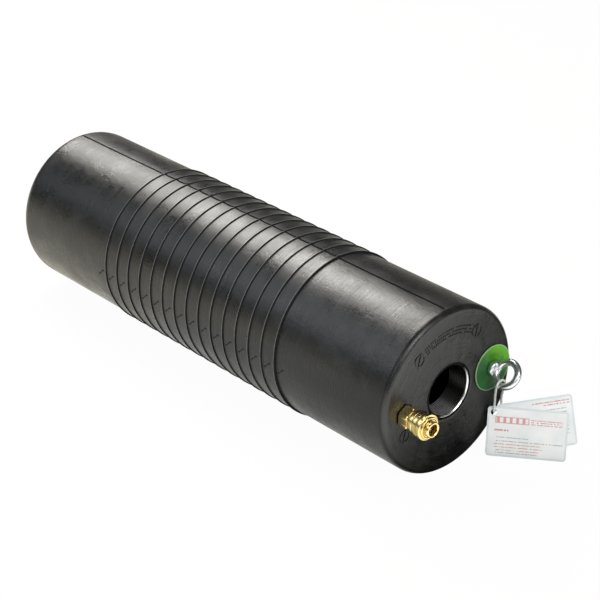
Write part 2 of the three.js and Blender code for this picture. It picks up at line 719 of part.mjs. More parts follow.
// The tie loops round the low side of the eye and through both cards' holes, its ends locked in a small head.
function tagTie() {
  const inward = new THREE.Vector3(0, Math.cos(EYE_TURN), Math.sin(EYE_TURN));
  const across = new THREE.Vector3(0, -Math.sin(EYE_TURN), Math.cos(EYE_TURN));
  const bar = onFace(1).setX(FACE + EYE_CENTRE_H).addScaledVector(inward, -EYE_RING_RADIUS);
  const reach = EYE_BAR_RADIUS + TIE_RADIUS + TIE_SLACK;
  const loop = [-90, -45, 0, 45, 90].map(THREE.MathUtils.degToRad).map((angle) => bar.clone()
    .addScaledVector(inward, reach * Math.cos(angle))
    .addScaledVector(across, reach * Math.sin(angle)));
  const near = cardAxes(FRONT_CARD);
  const far = cardAxes(REAR_CARD);
  const rise = CARD_HOLE_RADIUS - TIE_RADIUS - 2 * GAP;
  const nearHole = cardHole(FRONT_CARD).addScaledVector(near.up, rise);
  const farHole = cardHole(REAR_CARD).addScaledVector(far.up, rise);
  const head = farHole.clone().addScaledVector(far.front, -1.5 * TIE_HEAD);
  const path = new THREE.CatmullRomCurve3([
    head,
    head.clone().addScaledVector(far.up, 2 * TIE_HEAD),
    ...loop,
    nearHole.clone().addScaledVector(near.up, 2 * TIE_HEAD).addScaledVector(near.front, TIE_HEAD),
    nearHole.clone().addScaledVector(near.front, 0.75 * TIE_HEAD),
    nearHole,
    nearHole.clone().addScaledVector(near.front, -0.75 * TIE_HEAD),
    farHole.clone().addScaledVector(far.front, 0.75 * TIE_HEAD),
    farHole,
    farHole.clone().addScaledVector(far.front, -0.75 * TIE_HEAD),
    head,
  ], false, 'centripetal');
  const settings = { steps: 64, extrudePath: path, bevelEnabled: false };
  const strap = solid(new THREE.ExtrudeGeometry(roundSection(TIE_RADIUS, 8), settings));
  const block = new THREE.BoxGeometry(TIE_HEAD, TIE_HEAD, TIE_HEAD);
  block.applyMatrix4(new THREE.Matrix4().makeBasis(far.along, far.up, far.front).setPosition(head));
  return strap.add(solid(block));
}

// The whole plug

function raised(mesh) {
  mesh.position.z = AXIS_Z;
  return mesh;
}

const plug = new THREE.Group();
plug.add(raised(node('rubber_body', rubberBody(), 'rubber')));
plug.add(raised(node('front_end_fitting', frontFitting(), 'steel')));
plug.add(raised(node('rear_end_fitting', endFitting().mirror([1, 0, 0]), 'steel')));
plug.add(raised(node('bypass_hose', bypassHose(), 'hose')));
plug.add(hoseClamp('front', TAIL_X + CLAMP_FROM_TAIL_END));
plug.add(hoseClamp('rear', -TAIL_X - CLAMP_FROM_TAIL_END));
plug.add(airCoupler());
plug.add(liftingEye());
plug.add(node('tag_card_front', tagCard(FRONT_CARD), 'card'));
plug.add(node('tag_card_rear', tagCard(REAR_CARD), 'card'));
plug.add(node('tag_tie', tagTie(), 'tie'));

export default plug;
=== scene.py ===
"""Inflatable pipe plug with a bypass passage, an air coupler, a lifting eye and two tag cards."""

import math

import bmesh
import bpy
from mathutils import Matrix, Vector


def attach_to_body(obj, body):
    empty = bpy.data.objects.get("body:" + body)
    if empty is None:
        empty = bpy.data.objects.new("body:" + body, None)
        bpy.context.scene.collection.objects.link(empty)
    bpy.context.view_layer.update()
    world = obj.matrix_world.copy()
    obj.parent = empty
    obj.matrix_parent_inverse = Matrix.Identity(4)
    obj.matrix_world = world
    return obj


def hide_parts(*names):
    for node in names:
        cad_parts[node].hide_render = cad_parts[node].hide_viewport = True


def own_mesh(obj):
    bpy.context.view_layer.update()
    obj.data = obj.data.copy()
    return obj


bl_info = {
    "name": "Inflatable Pipe Plug",
    "version": (1, 0, 0),
    "blender": (4, 5, 0),
    "location": "3D View > Sidebar > Pipe Plug",
    "description": "Dresses the CAD model of an inflatable pipe plug",
    "category": "Object",
}

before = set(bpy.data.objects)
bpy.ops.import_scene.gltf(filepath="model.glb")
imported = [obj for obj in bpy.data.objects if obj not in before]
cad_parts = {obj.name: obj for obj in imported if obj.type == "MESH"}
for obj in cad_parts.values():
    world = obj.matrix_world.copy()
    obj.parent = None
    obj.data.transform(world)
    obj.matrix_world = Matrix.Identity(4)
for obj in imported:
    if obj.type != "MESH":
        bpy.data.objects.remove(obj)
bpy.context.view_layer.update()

MM = 0.001
BODY = "plug"

# Sizes of the solids, in millimetres, with X measured from mid-length
FACE = 331.0
RADIUS = 97.5
AXIS_Z = 96.8
EYE_TILT = math.radians(4.2)
INLET_TILT = math.radians(2.5)
FITTING_RADIUS = 66.0
BEAD_PITCH = 22.07
BEAD_X = [-148.4 + BEAD_PITCH * i for i in range(15)]
BAND_RISE = 1.0
BEAD_HEIGHT = 1.3
SEAM = math.radians(2.5)
SEAM_SAG = math.radians(0.45)
TICK_ANGLE = math.radians(94.6)

# Seam groove: its depth, and half its width and its sloping wall in degrees round the body
GROOVE_DEPTH, GROOVE_HALF, GROOVE_WALL = 2.6, 0.62, 0.15

# Strokes of a vent slit: shift along X, rise round the body, half length and slope
TICK_STROKES = ((0.0, 0.0, 5.2, 0.95), (-4.4, -3.6, 1.2, -0.5), (4.4, 3.6, 1.2, -0.5))

# Coupler springs: ends along X, radius of the coil, wire, turns and travel of the joint
GRIP_SPRING = {"ends": (348.4, 357.8), "ring": 10.15, "wire": 1.4, "turns": 3.5, "travel": 3.0}
SEAT_SPRING = {"ends": (333.2, 349.3), "ring": 4.7, "wire": 1.0, "turns": 5.0, "travel": 4.0}
WIRE_SIDES = 12

# Lamps: name, place and target in metres, size, power in watts and colour
LAMPS = (
    ("key_light", (-1.04, 0.34, 1.5), (0.03, 0.0, 0.15), (0.8, 1.5), 44.0, (1.0, 0.97, 0.925)),
    ("fill_light", (-0.85, -1.15, 1.2), (0.05, 0.0, 0.1), (1.1, 1.0), 9.0, (0.86, 0.93, 1.0)),
    ("side_light", (1.4, -2.0, 1.7), (0.1, 0.0, 0.05), (1.4, 1.0), 10.0, (0.97, 0.98, 1.0)),
    ("front_light", (2.2, -0.2, 1.5), (0.33, 0.0, 0.1), (1.2, 1.0), 31.0, (1.0, 1.0, 1.0)),
)

# Card poses: corner on the floor, heading of the long edge and lean away from it
FRONT_CARD = {"ahead": 10.4, "side": 50.7, "heading": 38.8, "lean": 14.0}
REAR_CARD = {"ahead": 25.5, "side": 65.0, "heading": 64.0, "lean": 27.0}
CARD_WIDTH, CARD_HEIGHT, CARD_THICKNESS = 88.0, 57.0, 0.8
CARD_CORNER, HOLE_RADIUS, HOLE_INSET = 4.0, 3.4, 7.0


def face_spot(side):
    """Centre of the coupler (-1) or the eye (1) on the front face, as (y, z)."""
    reach = side * FITTING_RADIUS
    tilt = EYE_TILT if side > 0 else INLET_TILT
    return reach * math.cos(tilt), AXIS_Z + reach * math.sin(tilt)


# Meshes

def make_piece(name, bm, material, sharp=30.0):
    """Turns a bmesh in millimetres into an object in metres with one material."""
    bmesh.ops.recalc_face_normals(bm, faces=bm.faces)
    mesh = bpy.data.meshes.new(name)
    bm.to_mesh(mesh)
    bm.free()
    mesh.transform(Matrix.Scale(MM, 4))
    mesh.shade_smooth()
    mesh.set_sharp_from_angle(angle=math.radians(sharp))
    mesh.materials.append(material)
    piece = bpy.data.objects.new(name, mesh)
    bpy.context.scene.collection.objects.link(piece)
    return piece


def add_lathe(bm, outline, segments, centre=(0.0, AXIS_Z), closed=True, limit=None):
    """Turns (x, radius) points about an axis along X. limit caps the radius by angle."""
    rings = []
    for x, radius in outline:
        ring = []
        for i in range(segments):
            angle = 2 * math.pi * i / segments
            r = min(radius, limit(angle)) if limit else radius
            ring.append(bm.verts.new((x, centre[0] + r * math.cos(angle), centre[1] + r * math.sin(angle))))
        rings.append(ring)
    if closed:
        pairs = list(zip(rings, rings[1:] + rings[:1]))
    else:
        pairs = list(zip(rings, rings[1:]))
        bm.faces.new(rings[0])
        bm.faces.new(rings[-1])
    for a, b in pairs:
        for i in range(segments):
            j = (i + 1) % segments
            bm.faces.new((a[i], a[j], b[j], b[i]))


def rounded(points, size=0.3):
    """Cuts each corner of an outline back by up to size, so that its edges catch the light."""
    out = []
    for i, here in enumerate(points):
        before = Vector(points[i - 1]) - Vector(here)
        after = Vector(points[(i + 1) % len(points)]) - Vector(here)
        if before.length < 1e-6 or after.length < 1e-6:
            out.append(here)
            continue
        turn = before.angle(after)
        cut_a = min(size, before.length * 0.35)
        cut_b = min(size, after.length * 0.35)
        if turn > math.radians(160):
            out.append(tuple(here))
            continue
        a = Vector(here) + before.normalized() * cut_a
        b = Vector(here) + after.normalized() * cut_b
        middle = (a + b) / 2 * 0.5 + Vector(here) * 0.5
        out.extend([tuple(a), tuple(middle), tuple(b)])
    return out


def add_block(bm, centre, half, turn=None):
    """A box with given half sizes, turned by a 3x3 matrix."""
    made = bmesh.ops.create_cube(bm, size=2.0)
    turned = (turn or Matrix.Identity(3)).to_4x4()
    matrix = Matrix.Translation(centre) @ turned @ Matrix.Diagonal((*half, 1.0))
    bmesh.ops.transform(bm, matrix=matrix, verts=made["verts"])
    return made["verts"]


def body_radius_rows():
    """Rows of the rubber body from the front socket mouth round the outside to the rear one."""
    rows = [(FACE - 18, 32.8), (FACE - 9, 32.8), (FACE - 1.2, 32.8), (FACE - 0.35, 33.0), (FACE, 33.7)]
    rows += [(FACE, r) for r in (36, 42, 50, 58, 66, 74, 80, 84, 87.5)]
    rows += corner_rows(FACE - 7, RADIUS - 7, 7, 0, 90, 10)
    rows += plain_rows(FACE - 9, BEAD_X[-1] + 3, 8)
    for i in range(len(BEAD_X) - 1, -1, -1):
        rows += bead_rows(i)
        if i:
            middle = (BEAD_X[i] + BEAD_X[i - 1]) / 2
            rows += [(middle + o, RADIUS + BAND_RISE) for o in (6, 2, -2, -6)]
    rows += plain_rows(BEAD_X[0] - 3, -FACE + 16, 8)
    rows += corner_rows(-FACE + 14, RADIUS - 14, 14, 90, 180, 12)
    rows += [(-FACE, r) for r in (80, 74, 66, 58, 50, 42, 36, 33.7)]
    rows += [(-FACE + 0.35, 33.0), (-FACE + 1.2, 32.8), (-FACE + 9, 32.8), (-FACE + 18, 32.8)]
    return rows


def corner_rows(x, radius, corner, start, end, steps):
    rows = []
    for i in range(steps + 1):
        angle = math.radians(start + (end - start) * i / steps)
        rows.append((x + corner * math.cos(angle), radius + corner * math.sin(angle)))
    return rows


def plain_rows(start, end, step):
    count = max(2, round(abs(end - start) / step))
    return [(start + (end - start) * i / count, RADIUS) for i in range(count + 1)]


def bead_rows(i):
    """One narrow bead, with a step down to the plain body outside the first and last."""
    band = RADIUS + BAND_RISE
    front = RADIUS if i == len(BEAD_X) - 1 else band
    back = RADIUS if i == 0 else band
    top = band + BEAD_HEIGHT
    shape = [(1.7, front), (1.3, front + 0.05), (1.0, front + 0.45 * (top - front)), (0.7, top - 0.25)]
    shape += [(0.35, top), (-0.35, top), (-0.7, top - 0.25)]
    shape += [(-1.0, back + 0.45 * (top - back)), (-1.3, back + 0.05), (-1.7, back)]
    return [(BEAD_X[i] + offset, radius) for offset, radius in shape]


def seam_sag(x):
    """How far the seam hangs towards the camera's side between two beads, in radians."""
    if x < BEAD_X[0] or x > BEAD_X[-1]:
        return 0.0
    phase = (x - BEAD_X[0]) / BEAD_PITCH
    return SEAM_SAG * math.sin(math.pi * (phase % 1.0))


def add_rubber_body(bm):
    """The moulded body: a fine grid with a groove along the seam and a small flat underneath."""
    fine = [-1.4, -0.9, -0.7, -0.6, -0.45, -0.2, 0.0, 0.2, 0.45, 0.6, 0.7, 0.9, 1.4]
    around = [math.radians(d) for d in fine]
    start, end = 3.0, 357.0
    count = 220
    around += [math.radians(start + (end - start) * i / count) for i in range(count + 1)]
    rings = []
    for x, radius in body_radius_rows():
        ring = []
        for off in around:
            near = math.exp(-((math.degrees(off) + 180) % 360 - 180) ** 2 / 6.0)
            angle = SEAM + off + seam_sag(x) * near
            r = radius
            away = abs((math.degrees(off) + 180) % 360 - 180)
            if radius > 92 and -FACE + 6 < x < FACE - 8.5:
                r -= GROOVE_DEPTH * min(1.0, max(0.0, (GROOVE_HALF - away) / GROOVE_WALL))
            y, z = -r * math.sin(angle), r * math.cos(angle)
            ring.append(bm.verts.new((x, y, AXIS_Z + max(z, -AXIS_Z))))
        rings.append(ring)
    for a, b in zip(rings, rings[1:]):
        for i in range(len(around)):
            j = (i + 1) % len(around)
            bm.faces.new((a[i], a[j], b[j], b[i]))


def add_face_dash(bm, angle, radius, length, width, height):
    """A short raised dash on the front face at a polar place, along the tangent."""
    y, z = radius * math.cos(angle), AXIS_Z + radius * math.sin(angle)
    across = Vector((0, math.cos(angle), math.sin(angle)))
    along = Vector((0, -math.sin(angle), math.cos(angle)))
    basis = Matrix((Vector((1, 0, 0)), along, across)).transposed()
    half = (height / 2 + 0.1, length / 2, width / 2)
    verts = add_block(bm, Vector((FACE + height / 2 - 0.1, y, z)), half, basis)
    for v in verts:
        if v.co.x > FACE:
            v.co.y += (y - v.co.y) * 0.3
            v.co.z += (z - v.co.z) * 0.3


def add_ring_mark(bm, angle, radius, size):
    """A raised oval ring with a bar across it, as moulds leave for setting marks."""
    y, z = radius * math.cos(angle), AXIS_Z + radius * math.sin(angle)
    foot, top = FACE - 0.1, FACE + 0.8
    rows = [(foot, size - 0.6), (top, size - 0.4), (top, size + 0.4), (foot, size + 0.6)]
    add_lathe(bm, rows, 32, centre=(y, z))
    basis = Matrix((Vector((1, 0, 0)), Vector((0, 0.25, 0.97)), Vector((0, -0.97, 0.25)))).transposed()
    add_block(bm, Vector((FACE + 0.3, y, z)), (0.6, size * 1.25, 0.7), basis)


def add_thread(bm, start, end, bore, pitch, depth, centre=(0.0, AXIS_Z)):
    """The inside of a threaded socket, as a helical sheet that rises to the thread's crests."""
    segments = 96
    per_turn = 6
    rows = int((end - start) / pitch * per_turn)
    rings = []
    for i in range(rows + 1):
        ring = []
        for k in range(segments):
            x = start + (end - start) * i / rows
            phase = (x - start) / pitch + k / segments
            rise = depth * abs(2 * (phase % 1.0) - 1)
            angle = 2 * math.pi * k / segments
            r = bore - rise
            ring.append(bm.verts.new((x, centre[0] + r * math.cos(angle), centre[1] + r * math.sin(angle))))
        rings.append(ring)
    for a, b in zip(rings, rings[1:]):
        for k in range(segments):
            m = (k + 1) % segments
            bm.faces.new((a[k], a[m], b[m], b[k]))


def add_torus(bm, centre, ring, bar, basis, around=72, section=24):
    """A round ring whose plane is spanned by the first two columns of basis."""
    grid = []
    for i in range(around):
        a = 2 * math.pi * i / around
        spoke = basis.col[0] * math.cos(a) + basis.col[1] * math.sin(a)
        row = []
        for k in range(section):
            b = 2 * math.pi * k / section
            outward = spoke * (ring + bar * math.cos(b))
            row.append(bm.verts.new(centre + outward + basis.col[2] * bar * math.sin(b)))
        grid.append(row)
    for i in range(around):
        n = (i + 1) % around
        for k in range(section):
            m = (k + 1) % section
            bm.faces.new((grid[i][k], grid[n][k], grid[n][m], grid[i][m]))


def add_spring(bm, start, end, ring, wire, turns, centre):
    """A helix of round wire along X, closed at both ends."""
    steps = round(turns * 24)
    sections = []
    for i in range(steps + 1):
        share = i / steps
        angle = 2 * math.pi * turns * share
        out = Vector((0, math.cos(angle), math.sin(angle)))
        turning = Vector((0, -math.sin(angle), math.cos(angle))) * (2 * math.pi * turns * ring)
        side = out.cross((turning + Vector((end - start, 0, 0))).normalized())
        middle = Vector((start + (end - start) * share, *centre)) + out * ring
        section = []
        for k in range(WIRE_SIDES):
            a = 2 * math.pi * k / WIRE_SIDES
            section.append(bm.verts.new(middle + (out * math.cos(a) + side * math.sin(a)) * wire / 2))
        sections.append(section)
    for a, b in zip(sections, sections[1:]):
        for i in range(WIRE_SIDES):
            j = (i + 1) % WIRE_SIDES
            bm.faces.new((a[i], a[j], b[j], b[i]))
    bm.faces.new(sections[0][::-1])
    bm.faces.new(sections[-1])


def card_axes(card):
    heading, lean = math.radians(card["heading"]), math.radians(card["lean"])
    along = Vector((math.cos(heading), math.sin(heading), 0))
    away = Vector((-math.sin(heading), math.cos(heading), 0))
    up = Vector((0, 0, math.cos(lean))) + away * math.sin(lean)
    lift = 0.3 + CARD_THICKNESS * math.sin(lean)
    corner = Vector((FACE + card["ahead"], card["side"], lift))
    return along, up, along.cross(up), corner


def add_card(bm, card):
    """A laminated card: rounded corners, a punched hole and softened edges."""
    along, up, out, corner = card_axes(card)
    outline = []
    w, h, r = CARD_WIDTH, CARD_HEIGHT, CARD_CORNER
    for cx, cy, start in ((w - r, r, -90), (w - r, h - r, 0), (r, h - r, 90), (r, r, 180)):
        for i in range(9):
            a = math.radians(start + 90 * i / 8)
            outline.append((cx + r * math.cos(a), cy + r * math.sin(a)))
    hole = []
    for i in range(32):
        a = 2 * math.pi * i / 32
        hole.append((HOLE_INSET + HOLE_RADIUS * math.cos(a), h - HOLE_INSET + HOLE_RADIUS * math.sin(a)))
    half = CARD_THICKNESS / 2

    def layer(points, depth, shrink, about):
        made = []
        for x, y in points:
            x += (about[0] - x) * shrink
            y += (about[1] - y) * shrink
            made.append(bm.verts.new(corner + along * x + up * y + out * depth))
        return made

    def edges(ring):
        return [bm.edges.new((ring[i], ring[(i + 1) % len(ring)])) for i in range(len(ring))]

    middle = (w / 2, h / 2)
    sheets = []
    for depth in (half, -half):
        outer = layer(outline, depth, 0.002, middle)
        inner = layer(hole, depth, -0.04, (HOLE_INSET, h - HOLE_INSET))
        bmesh.ops.triangle_fill(bm, edges=edges(outer) + edges(inner), use_beauty=True)
        sheets.append((outer, inner))
    rim_outer = layer(outline, 0, 0, middle)
    rim_inner = layer(hole, 0, 0, middle)
    for outer, inner in sheets:
        for a, b in ((outer, rim_outer), (inner, rim_inner)):
            for i in range(len(a)):
                j = (i + 1) % len(a)
                bm.faces.new((a[i], a[j], b[j], b[i]))


# Shader maths

class Value:
    """A node socket that adds Math nodes when it is used in a Python expression."""

    def __init__(self, tree, socket):
        self.tree = tree
        self.socket = socket

    def math(self, operation, *others, clamp=False):
        node = self.tree.nodes.new("ShaderNodeMath")
        node.operation = operation
        node.use_clamp = clamp
        for i, value in enumerate(others):
            if isinstance(value, Value):
                self.tree.links.new(value.socket, node.inputs[i])
            else:
                node.inputs[i].default_value = value
        return Value(self.tree, node.outputs[0])

    def __add__(self, other):
        return self.math("ADD", self, other)

    def __radd__(self, other):
        return self.math("ADD", other, self)

    def __sub__(self, other):
        return self.math("SUBTRACT", self, other)

    def __mul__(self, other):
        return self.math("MULTIPLY", self, other)

    def __truediv__(self, other):
        return self.math("DIVIDE", self, other)

    def __abs__(self):
        return self.math("ABSOLUTE", self)

    def above(self, limit):
        return self.math("GREATER_THAN", self, limit)

    def below(self, limit):
        return self.math("LESS_THAN", self, limit)

    def clamped(self):
        return self.math("ADD", self, 0.0, clamp=True)

    def wave(self):
        return self.math("SINE", self)

    def remainder(self, size):
        return self.math("FLOORED_MODULO", self, size)

    def angle_to(self, other):
        return self.math("ARCTAN2", self, other)

    def length_with(self, other):
        return self.math("SQRT", self * self + other * other)

    def between(self, low, high):
        return self.above(low) * self.below(high)


class Finish:
    """A material under construction: one shader and the nodes that feed it."""

    def __init__(self, name, **constants):
        self.material = bpy.data.materials.new(name)
        self.material.use_nodes = True
        self.tree = self.material.node_tree
        self.tree.nodes.clear()
        self.output = self.tree.nodes.new("ShaderNodeOutputMaterial")
        self.shader = self.tree.nodes.new("ShaderNodeBsdfPrincipled")
        self.tree.links.new(self.shader.outputs[0], self.output.inputs["Surface"])
        for key, value in constants.items():
            self.shader.inputs[key.replace("_", " ")].default_value = value

    def node(self, kind, settings=None, values=None, out=0):
        """Adds any node: its settings first, then the values or links of its sockets."""
        node = self.tree.nodes.new(kind)
        for key, value in (settings or {}).items():
            if key == "stops":
                ramp = node.color_ramp.elements
                while len(ramp) < len(value):
                    ramp.new(1.0)
                for element, (position, colour) in zip(ramp, value):
                    element.position = position
                    element.color = (*colour, 1.0)
            else:
                setattr(node, key, value)
        for key, value in (values or {}).items():
            socket = node.inputs[key]
            if isinstance(value, Value):
                self.tree.links.new(value.socket, socket)
            elif socket.type == "RGBA" and len(value) == 3:
                socket.default_value = (*value, 1.0)
            else:
                socket.default_value = value
        return Value(self.tree, node.outputs[out])

    def place(self):
        """Object coordinates in millimetres, and their X, Y and Z."""
        raw = self.node("ShaderNodeTexCoord", out=3)
        scaled = self.node("ShaderNodeVectorMath", {"operation": "SCALE"}, {0: raw, 3: 1000.0})
        parts = [self.node("ShaderNodeSeparateXYZ", {}, {0: scaled}, out=i) for i in range(3)]
        return scaled, parts

    def along(self, vector, direction, origin):
        """Distance of a point from origin along a direction."""
        moved = self.node("ShaderNodeVectorMath", {"operation": "SUBTRACT"}, {0: vector, 1: tuple(origin)})
        values = {0: moved, 1: tuple(direction)}
        return self.node("ShaderNodeVectorMath", {"operation": "DOT_PRODUCT"}, values, out=1)

    def point(self, x, y, z):
        return self.node("ShaderNodeCombineXYZ", {}, {0: x, 1: y, 2: z})

    def noise(self, vector, scale, detail=3.0, roughness=0.55):
        values = {"Vector": vector, "Scale": scale, "Detail": detail, "Roughness": roughness}
        return self.node("ShaderNodeTexNoise", {}, values)

    def ramp(self, factor, *stops):
        return self.node("ShaderNodeValToRGB", {"stops": stops}, {0: factor})

    def scale(self, factor, low, high, to_low, to_high):
        values = {0: factor, 1: low, 2: high, 3: to_low, 4: to_high}
        return self.node("ShaderNodeMapRange", {"interpolation_type": "SMOOTHSTEP"}, values)

    def blend(self, factor, a, b):
        return self.node("ShaderNodeMix", {"data_type": "RGBA"}, {0: factor, 6: a, 7: b}, out=2)

    def bump(self, height, distance, strength=1.0, below=None):
        values = {"Height": height, "Distance": distance, "Strength": strength}
        if below:
            values["Normal"] = below
        return self.node("ShaderNodeBump", {}, values)

    def feed(self, **links):
        for key, value in links.items():
            self.tree.links.new(value.socket, self.shader.inputs[key.replace("_", " ")])
        return self.material


def rubber_finish(settings):
    """Satin black moulded rubber with a fine striation round it and dull patches, with painted shade in the
    seam groove and on the near-side foot of each bead, and a painted highlight on each bead's crest.
    """
    f = Finish("satin_rubber", Metallic=0.0, IOR=1.5)
    where, (x, y, z) = f.place()
    height = z - AXIS_Z
    around = y.angle_to(height)
    reach = y.length_with(height)
    streak = f.noise(f.point(x * 0.8, around * 1.2, reach * 0.3), 1.0, 4.0)
    speckle = f.noise(where, 0.42, 3.0, 0.7)
    patch = f.noise(f.point(x * 0.012, around * 2.0, reach * 0.03), 1.0, 4.0, 0.6)
    grain = f.noise(where, 1.6, 3.0)
    cloud = f.noise(where, 0.05, 5.0, 0.6)
    phase = ((x - BEAD_X[0]) / BEAD_PITCH).remainder(1.0)
    sag = (phase * math.pi).wave() * x.between(BEAD_X[0], BEAD_X[-1]) * SEAM_SAG
    # Painted shade: the seam groove and its hook at the front end are painted near black, standing for the
    # shade inside the groove
    near_seam = f.scale(abs(around + SEAM + sag), 0.0125, 0.0145, 1.0, 0.0)
    seam = near_seam * x.between(-FACE + 6, FACE - 9) * reach.above(90.0)
    hook = x.between(FACE - 10.4, FACE - 8.9) * around.between(-0.085, -SEAM) * reach.above(90.0)
    seam_shade = (seam + hook).clamped()
    offset = (x - BEAD_X[0] + BEAD_PITCH / 2).remainder(BEAD_PITCH) - BEAD_PITCH / 2
    banded = x.between(BEAD_X[0] - 3, BEAD_X[-1] + 3) * reach.above(92.0)
    # Painted shade: a near-black strip along the near-side (+X) foot of each bead, where its flank is in
    # shade
    foot = f.scale(abs(offset - 1.2), 0.7, 1.0, 1.0, 0.0) * banded
    # Painted highlight: a lighter grey strip along each bead's crest
    crest_highlight = f.scale(abs(offset + 0.4), 0.35, 0.7, 1.0, 0.0) * banded
    # All painted shade of the body: the seam groove and the bead feet
    dark = (seam_shade + foot).clamped()
    tone = (cloud * 0.5 + streak * 0.25 + patch * 0.35).clamped()
    low = tuple(c * 0.35 for c in settings.rubber_colour)
    high = tuple(c * 1.9 for c in settings.rubber_colour)
    bloom = tuple(c * 5.0 for c in settings.rubber_colour)
    base = f.ramp(tone, (0.38, low), (0.72, high))
    base = f.blend(f.scale(patch * 0.5 + cloud * 0.5, 0.52, 0.68, 0.0, 0.55), base, bloom)
    # Painted highlight: lighter grey on the bead crests
    base = f.blend(crest_highlight * 0.9, base, (0.2, 0.2, 0.2))
    # Painted shade: near black in the seam groove and along the bead feet
    base = f.blend(dark, base, (0.0006, 0.0006, 0.0006))
    rough = settings.rubber_roughness + (patch - 0.5) * 0.4 + (streak - 0.5) * 0.24
    rough = rough + (cloud - 0.5) * 0.3 + (speckle - 0.5) * 0.22
    rough = (rough + dark * 0.55 - crest_highlight * 0.12).clamped()
    normal = f.bump(streak, 0.00035, 0.8)
    normal = f.bump(speckle, 0.00014, 0.8, normal)
    normal = f.bump(grain, 0.0001, 0.9, normal)
    normal = f.bump(patch, 0.0015, 0.6, normal)
    normal = f.bump(cloud, 0.0005, 0.6, normal)
    return f.feed(Base_Color=base, Roughness=rough, Normal=normal)


def hose_finish():
    """Matt hose rubber with a woven mark."""
    f = Finish("hose_rubber", Metallic=0.0)
    where, (x, y, z) = f.place()
    around = y.angle_to(z - AXIS_Z)
    weave = (x * 1.2 + around * 24).wave() * (x * 1.2 - around * 24).wave()
    grain = f.noise(where, 1.2)
    base = f.ramp(grain, (0.3, (0.006, 0.006, 0.006)), (0.8, (0.02, 0.02, 0.02)))
    return f.feed(Base_Color=base, Roughness=0.62 + grain * 0.2, Normal=f.bump(weave, 0.00025, 0.5))


def metal_finish(name, dark, light, rough, centre=(0.0, AXIS_Z), turning=1.0, tarnish=None):
    """Turned metal: tool lines round its axis, cloudy gloss and tarnish in patches."""
    f = Finish(name, Metallic=1.0)
    where, (x, y, z) = f.place()
    across, height = y - centre[0], z - centre[1]
    reach = across.length_with(height)
    lines = f.noise(f.point(x * 5.0, reach * 5.0, 0.0), 1.0, 3.0)
    cloud = f.noise(where, 0.35, 4.0, 0.6)
    fine = f.noise(where, 3.0, 2.0)
    tone = (cloud * 0.7 + lines * 0.3).clamped()
    base = f.ramp(tone, (0.3, dark), (0.7, light))
    if tarnish:
        base = f.blend(f.scale(cloud, 0.56, 0.72, 0.0, 0.6), base, tarnish)
    gloss = (rough + (cloud - 0.5) * 0.16 + (lines - 0.5) * 0.1).clamped()
    normal = f.bump(lines, 0.00001 * turning, 0.6)
    normal = f.bump(fine, 0.000006, 0.5, normal)
    return f.feed(Base_Color=base, Roughness=gloss, Normal=normal)


def soft_finish(name, dark, light, rough):
    """Seals, washers and other small moulded parts with a fine grain."""
    f = Finish(name, Metallic=0.0)
    where, _ = f.place()
    grain = f.noise(where, 1.5, 4.0)
    base = f.ramp(grain, (0.3, dark), (0.75, light))
    rough = rough + (grain - 0.5) * 0.2
    return f.feed(Base_Color=base, Roughness=rough, Normal=f.bump(grain, 0.00005, 0.6))


def socket_finish():
    """Turned steel painted near black as the shade inside the bore, with painted highlights on the thread
    crests and on the rim's edges along the lower side.
    """
    f = Finish("socket_steel", Metallic=1.0)
    where, (x, y, z) = f.place()
    reach = y.length_with(z - AXIS_Z)
    cloud = f.noise(where, 0.3, 4.0, 0.6)
    lines = f.noise(f.point(x * 5.0, reach * 5.0, 0.0), 1.0, 3.0)
    # Painted highlights: the rim's inner and outer edges and the thread crests take bright steel only on
    # the lower side, where the light falls
    rim_lit_side = f.scale(y * 0.8 - (z - AXIS_Z) * 0.6, 4.0, 14.0, 0.02, 1.0)
    edges = f.scale(abs(reach - 31.4), 0.75, 1.0, 0.03, 1.0)
    rim = f.scale(abs(x), FACE - 2.6, FACE - 1.6, 0.0, 1.0) * rim_lit_side * edges
    crest_lit_side = f.scale(z - AXIS_Z + y * 0.6, -30.0, -14.0, 1.0, 0.03)
    crest_highlight = f.scale(reach, 28.35, 28.7, 1.0, 0.0) * abs(x).above(303.0) * crest_lit_side
    bright = (rim + crest_highlight * (0.35 + cloud * 0.5)).clamped()
    # Painted shade: near-black steel everywhere outside the painted highlights stands for the shade inside
    # the bore
    dark = f.ramp(cloud, (0.3, (0.001, 0.001, 0.001)), (0.7, (0.003, 0.003, 0.003)))
    light = f.ramp(cloud, (0.3, (0.62, 0.62, 0.61)), (0.7, (0.88, 0.87, 0.86)))
    rough = (0.3 + (cloud - 0.5) * 0.2 + (lines - 0.5) * 0.1 + crest_highlight * 0.25).clamped()
    base = f.blend(bright, dark, light)
    return f.feed(Base_Color=base, Roughness=rough, Normal=f.bump(lines, 0.00002, 0.6))


